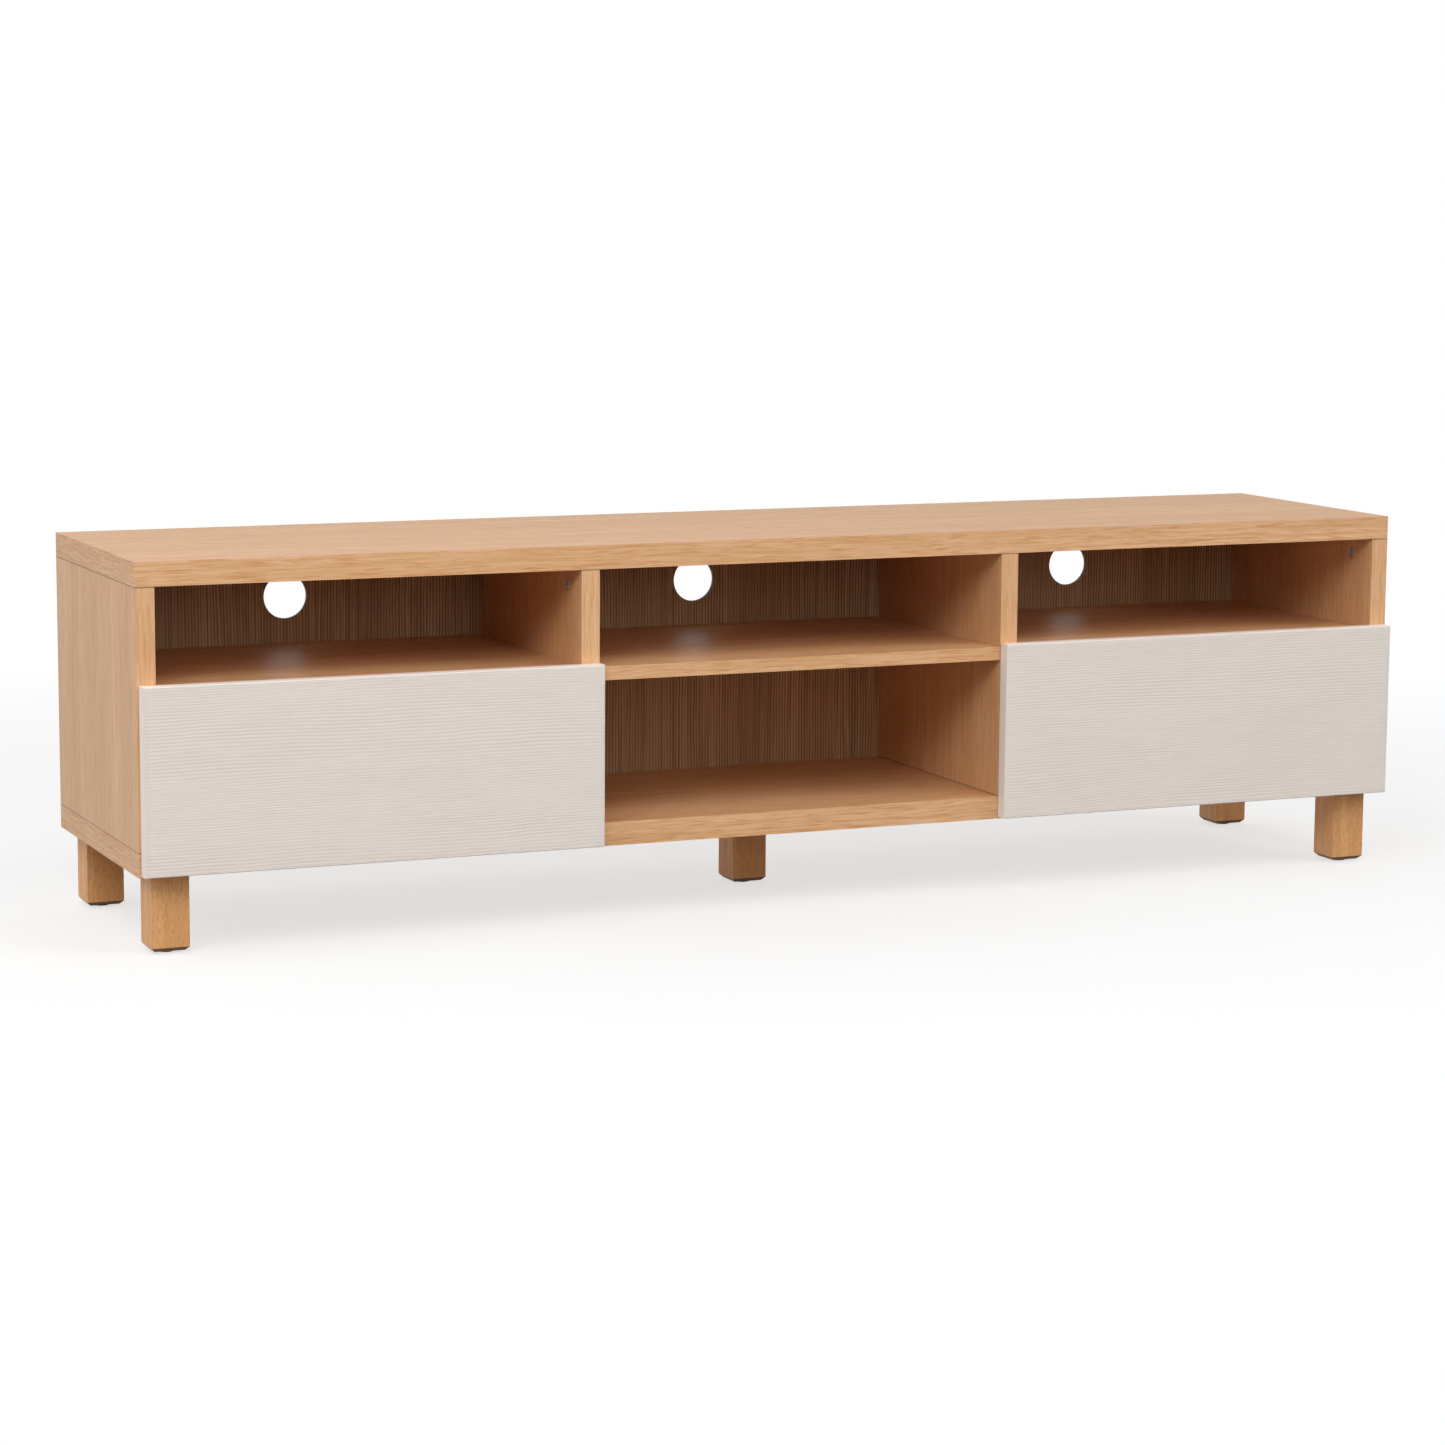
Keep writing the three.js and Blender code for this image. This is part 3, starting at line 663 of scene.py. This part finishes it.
def add_rail(runner):
    """Rolled rail that opens toward the drawer, with its screws and a stop tab near the front end."""
    low, high = runner.rail
    hand = runner.hand
    web = face_x(runner.rail, hand)
    width = high.x - low.x
    half = (high.z - low.z) / 2
    path = rounded_path(mirrored([(width, half - RAIL_LIP), (width, half), (0.0, half)]), RAIL_BEND)
    shape = bmesh.new()
    place = Vector((web, runner.level))
    add_strip(shape, thickened(path, SHEET), place, hand, runner.front, runner.back)
    seat = web + hand * RUNNER_HEAD_SEAT
    add_runner_heads(shape, runner, seat, hand, RAIL_SCREWS, RAIL_HEAD_HEIGHT, RAIL_HEAD_RECESS)
    tab = web + hand * TAB_FROM_WEB
    start = runner.front + TAB_FROM_END
    top = runner.level + half
    add_block(
        shape,
        (tab - TAB_HALF_WIDTH, start, top - TAB_FOOT),
        (tab + TAB_HALF_WIDTH, start + TAB_THICKNESS, top - TAB_TOP),
        TAB_ROUNDING,
    )
    add_piece(
        f"{runner.name}_rail_profile", shape, "cabinet",
        LOOKS["runner_steel"], f"{runner.name}_runner_rail",
    )


def add_slide(runner):
    """Rolled slide on the drawer side, with ball races in its flanges and screws in its web."""
    low, high = runner.slide
    hand = -runner.hand
    web = face_x(runner.slide, hand)
    width = high.x - low.x
    half = (high.z - low.z) / 2
    race = width - RACE_FROM_EDGE
    flange = [(width, half), (race + RACE_HALF_WIDTH, half), (race, half - RACE_DIP)]
    flange += [(race - RACE_HALF_WIDTH, half), (0.0, half)]
    path = rounded_path(mirrored(flange), SLIDE_BEND)
    shape = bmesh.new()
    place = Vector((web, runner.level))
    add_strip(shape, thickened(path, SHEET), place, hand, runner.front, runner.back)
    seat = web + hand * RUNNER_HEAD_SEAT
    add_runner_heads(shape, runner, seat, hand, SLIDE_SCREWS, SLIDE_HEAD_HEIGHT, SLIDE_HEAD_RECESS)
    add_piece(
        f"{runner.name}_slide_profile", shape, runner.drawer,
        LOOKS["runner_steel"], f"{runner.name}_runner_slide",
    )


def add_cage(runner):
    """Bent cage with a row of balls above and below, between the rail's flanges and the slide's."""
    low, high = runner.cage
    hand = runner.hand
    web = face_x(runner.cage, hand)
    width = high.x - low.x
    slide_half = (runner.slide[1].z - runner.slide[0].z) / 2
    race_level = (runner.rail[1].z - runner.level - SHEET + slide_half) / 2
    outer = race_level + CAGE_SHEET / 2
    path = rounded_path(mirrored([(width, outer), (0.0, outer)]), CAGE_BEND)
    shape = bmesh.new()
    add_strip(shape, thickened(path, CAGE_SHEET), Vector((web, runner.level)), hand, low.y, high.y)
    ball_x = (face_x(runner.rail, -hand) + face_x(runner.slide, hand)) / 2
    count = int((high.y - low.y) / BALL_PITCH)
    for i in range(count):
        y = low.y + (i + 0.5) * (high.y - low.y) / count
        for way in (-1, 1):
            add_ball(shape, (ball_x, y, runner.level + way * race_level), BALL_RADIUS)
    add_piece(
        f"{runner.name}_cage_and_balls", shape, f"{runner.name}_cage",
        LOOKS["cage_steel"], f"{runner.name}_ball_cage",
    )


for side in DRAWERS:
    for hand_name in HANDS:
        runner = Runner(side, hand_name)
        add_rail(runner)
        add_slide(runner)
        add_cage(runner)

# ---------- bolts, cams and screws ----------

THREAD_PITCH = 2.0 * MM
THREAD_DEPTH = 0.7 * MM
BOLT_TAPER = 3 * MM
BOLT_TIP = 0.55  # of the bolt's radius
BOLT_SEGMENTS = 20
CAM_RADIUS = 7.5 * MM
CAM_CROSS = (8.6 * MM, 1.7 * MM)
CAM_RECESS = 2.4 * MM
CAM_FROM_FRONT = 52 * MM
CAM_FROM_BACK = 60 * MM
CASE_SCREW_RADIUS = 4.8 * MM
SHELF_CAM_FROM_END = 24 * MM
SUNK = 1.6 * MM  # how deep the heads' seats are in the undersides
SUNK_HEAD_HEIGHT = 1.8 * MM
BOX_CAM_RADIUS = 6 * MM
BOX_CAM_SUNK = 1.5 * MM
BOX_CAM_HEIGHT = 1.7 * MM
BOX_CAM_FROM_FRONT = 34 * MM
BOX_CAM_FROM_FOOT = 40 * MM
BOX_CAM_FROM_TOP = 30 * MM
LATCH_PLATE = 3 * MM
LATCH_SCREW_RADIUS = 3.4 * MM
LATCH_SCREW_HEIGHT = 1.9 * MM
LATCH_SCREW_REACH = 16 * MM
CONTACT = 0.1 * MM  # how far a head dips into what it holds


def thread_ring(low, high, radius, z):
    """One ring of a rolled thread that narrows toward both ends."""
    x, y = (low.x + high.x) / 2, (low.y + high.y) / 2
    taper = min(1.0, min(z - low.z, high.z - z) / BOLT_TAPER)
    ring = []
    for k in range(BOLT_SEGMENTS):
        turn = k / BOLT_SEGMENTS
        phase = ((z - low.z) / THREAD_PITCH - turn) % 1.0
        crest = radius - THREAD_DEPTH * abs(2 * phase - 1)
        size = crest * (BOLT_TIP + (1 - BOLT_TIP) * taper)
        angle = 2 * math.pi * turn
        ring.append((x + size * math.cos(angle), y + size * math.sin(angle), z))
    return ring


def add_hanger_bolt(place_name):
    """A double-ended bolt with a rolled thread and tapered ends."""
    node = f"hanger_bolt_{place_name}"
    low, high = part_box(node)
    radius = (high.x - low.x) / 2
    steps = round((high.z - low.z) / (THREAD_PITCH / 4))
    levels = [low.z + (high.z - low.z) * i / steps for i in range(steps + 1)]
    shape = bmesh.new()
    grid = add_grid(shape, [thread_ring(low, high, radius, z) for z in levels], closed=True)
    shape.faces.new(grid[0])
    shape.faces.new(grid[-1])
    add_piece(f"threaded_bolt_{place_name}", shape, "cabinet", LOOKS["bolt_steel"], node)


def add_cam(upright, place_name):
    """The cam disc of one top fitting, seated in its bore, with a bevelled rim and a cross recess."""
    node = f"cam_{upright}_{place_name}"
    low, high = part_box(node)
    toward = 1 if upright in ("left_side", "right_divider") else -1
    start = low.x if toward == 1 else high.x
    centre = (start, (low.y + high.y) / 2, (low.z + high.z) / 2)
    shape = bmesh.new()
    add_head(shape, centre, (toward, 0, 0), CAM_RADIUS, high.x - low.x, CAM_CROSS, CAM_RECESS)
    name = f"cam_disc_{upright}_{place_name}"
    add_piece(name, shape, "cabinet", LOOKS["zinc_fitting"], node)


def add_heads(name, centres, toward, radius, height, body, slot):
    """A row of alike cross-recess heads as one piece."""
    shape = bmesh.new()
    cross = (1.1 * radius, 0.24 * radius)
    for centre in centres:
        add_head(shape, centre, toward, radius, height, cross, 0.6 * height)
    add_piece(name, shape, body, LOOKS[slot])


def add_sunk_heads(name, centres, radius):
    """Heads let into an underside, facing down."""
    add_heads(name, centres, (0, 0, -1), radius, SUNK_HEAD_HEIGHT, "cabinet", "zinc_fitting")


def add_case_screws():
    """Screws that hold the uprights, driven from under the bottom panel."""
    low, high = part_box("bottom_panel")
    centres = []
    for node in ("left_side_panel", "left_divider", "right_divider", "right_side_panel"):
        board_low, board_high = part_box(node)
        for y in (low.y + CAM_FROM_FRONT, high.y - CAM_FROM_BACK):
            centres.append(((board_low.x + board_high.x) / 2, y, low.z + SUNK))
    add_sunk_heads("case_screws", centres, CASE_SCREW_RADIUS)


def add_shelf_cams(node):
    """Cam discs let into a shelf's underside, which pull it to the uprights."""
    low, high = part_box(node)
    centres = []
    for x in (low.x + SHELF_CAM_FROM_END, high.x - SHELF_CAM_FROM_END):
        for y in (low.y + CAM_FROM_FRONT, high.y - CAM_FROM_BACK):
            centres.append((x, y, low.z + SUNK))
    add_sunk_heads(f"{node}_cams", centres, CAM_RADIUS)


def add_box_cams(side, hand_name):
    """Cam discs on the inner face of a drawer side, which pull it to the front."""
    node = f"{side}_drawer_{hand_name}_side"
    low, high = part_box(node)
    toward = 1 if hand_name == "left" else -1
    inner = high.x if toward == 1 else low.x
    levels = (low.z + BOX_CAM_FROM_FOOT, high.z - BOX_CAM_FROM_TOP)
    centres = [(inner - toward * BOX_CAM_SUNK, low.y + BOX_CAM_FROM_FRONT, z) for z in levels]
    facing = (toward, 0, 0)
    body = f"{side}_drawer"
    add_heads(f"{node}_cams", centres, facing, BOX_CAM_RADIUS, BOX_CAM_HEIGHT, body, "zinc_fitting")


def add_latch_screws(side):
    """Pan-head screws through the latch's foot plate."""
    low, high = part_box(f"{side}_latch_housing")
    middle = (low + high) / 2
    seat = low.z + LATCH_PLATE - CONTACT
    centres = [(middle.x + reach, middle.y, seat) for reach in (-LATCH_SCREW_REACH, LATCH_SCREW_REACH)]
    size = (LATCH_SCREW_RADIUS, LATCH_SCREW_HEIGHT)
    add_heads(f"{side}_latch_screws", centres, (0, 0, 1), *size, "cabinet", "runner_steel")


for place_name in ("front_left", "front_right", "rear_left", "rear_right", "centre"):
    add_hanger_bolt(place_name)
for upright in ("left_side", "left_divider", "right_divider", "right_side"):
    for place_name in ("front", "rear"):
        add_cam(upright, place_name)
for node in ("left_shelf", "centre_shelf", "right_shelf"):
    add_shelf_cams(node)
add_case_screws()
for side in DRAWERS:
    add_latch_screws(side)
    for hand_name in HANDS:
        add_box_cams(side, hand_name)

# ---------- stage, light and camera ----------

FLOOR_RADIUS = 40.0
FLOOR_SOLID = 0.9  # metres from the middle where the floor starts to fade
FLOOR_GONE = 2.5  # and where nothing of it is left
FLOOR_COVER = 0.35
ROOM_GLOW = 0.01
BACKDROP_GLOW = 0.70
LAMP_SIZE = (1.8, 1.5)
LAMP_DISTANCE = 4.5
AIM = Vector((-0.031, 0.0096, -0.0245))  # the middle of the view, from the middle of the cabinet
DISTANCE = 5.206
CAMERA_TURN = 23.6  # degrees
CAMERA_TILT = 8.44
CAMERA_ROLL = -0.4
FOCAL_LENGTH = 95.1  # millimetres, as is the sensor
SENSOR_WIDTH = 36.0


def add_floor():
    """A pale, see-through floor that fades into the backdrop a few metres out."""
    mesh = bpy.data.meshes.new("floor")
    shape = bmesh.new()
    bmesh.ops.create_circle(shape, cap_ends=True, segments=96, radius=FLOOR_RADIUS)
    shape.to_mesh(mesh)
    shape.free()
    floor = bpy.data.objects.new("floor", mesh)
    bpy.context.collection.objects.link(floor)
    graph = Graph("floor")
    tint = graph.noise(graph.place(), 3.0, 2.0)
    color = graph.blend(graph.fit(tint, 0.3, 0.7), rgba(0.96, 0.96, 0.96), rgba(0.94, 0.94, 0.94))
    away = graph.node("ShaderNodeVectorMath", operation="LENGTH")
    graph.feed(away.inputs[0], graph.place())
    solid = graph.fit(away.outputs["Value"], FLOOR_SOLID, FLOOR_GONE, FLOOR_COVER, 0.0)
    mesh.materials.append(graph.finish(color, 0.9))
    graph.feed(graph.shader.inputs["Alpha"], solid)
    floor.location = (0, 0, CAD_BOX[0].z)


def add_light(name, azimuth, elevation, power):
    """A soft rectangular lamp aimed at the cabinet. Azimuth 0 is straight in front of it."""
    data = bpy.data.lights.new(name, "AREA")
    data.shape = "RECTANGLE"
    data.size, data.size_y = LAMP_SIZE
    data.energy = power
    lamp = bpy.data.objects.new(name, data)
    bpy.context.collection.objects.link(lamp)
    turn, tilt = math.radians(azimuth), math.radians(elevation)
    away = Vector((math.sin(turn) * math.cos(tilt), -math.cos(turn) * math.cos(tilt), math.sin(tilt)))
    lamp.location = CENTRE + LAMP_DISTANCE * away
    lamp.rotation_mode = "QUATERNION"
    lamp.rotation_quaternion = (-away).to_track_quat("-Z", "Y")


def add_world():
    """A bright backdrop behind the cabinet and a dim room in front. The camera sees white all round."""
    world = bpy.data.worlds.new("studio")
    bpy.context.scene.world = world
    world.use_nodes = True
    tree = world.node_tree
    background = tree.nodes["Background"]
    toward = tree.nodes.new("ShaderNodeTexCoord")
    split = tree.nodes.new("ShaderNodeSeparateXYZ")
    ramp = tree.nodes.new("ShaderNodeMapRange")
    path = tree.nodes.new("ShaderNodeLightPath")
    brightest = tree.nodes.new("ShaderNodeMath")
    brightest.operation = "MAXIMUM"
    for index, setting in enumerate((0.0, 0.5, ROOM_GLOW, BACKDROP_GLOW), start=1):
        ramp.inputs[index].default_value = setting
    tree.links.new(toward.outputs["Generated"], split.inputs[0])
    tree.links.new(split.outputs["Y"], ramp.inputs[0])
    tree.links.new(ramp.outputs[0], brightest.inputs[0])
    tree.links.new(path.outputs["Is Camera Ray"], brightest.inputs[1])
    tree.links.new(brightest.outputs[0], background.inputs["Strength"])
    background.inputs["Color"].default_value = rgba(1.0, 1.0, 1.0)


def add_camera():
    """A long lens, a little above the cabinet and to its left, turned and rolled as the view asks."""
    turn, tilt, roll = (math.radians(angle) for angle in (CAMERA_TURN, CAMERA_TILT, CAMERA_ROLL))
    forward = Vector((math.sin(turn) * math.cos(tilt), math.cos(turn) * math.cos(tilt), -math.sin(tilt)))
    level = forward.cross(Vector((0, 0, 1))).normalized()
    right = Matrix.Rotation(roll, 3, forward) @ level
    up = right.cross(forward)
    data = bpy.data.cameras.new("camera")
    data.lens = FOCAL_LENGTH
    data.sensor_width = SENSOR_WIDTH
    camera = bpy.data.objects.new("camera", data)
    bpy.context.collection.objects.link(camera)
    turned = Matrix((right, up, -forward)).transposed()
    place = CENTRE + AIM - DISTANCE * forward
    camera.matrix_world = Matrix.Translation(place) @ turned.to_4x4()
    bpy.context.scene.camera = camera


bpy.context.scene.view_settings.view_transform = "Standard"
add_floor()
add_world()
add_light("left_front", -38, 32, 52)
add_light("left_low", -62, 24, 28)
add_light("left_high", -65, 55, 30)
add_light("left_side", -100, 36, 24)
add_light("right_high", 25, 55, 48)
add_light("right_side", 60, 27, 38)
add_light("front_low", -5, 15, 20)
add_light("right_low", 42, 15, 16)
add_camera()
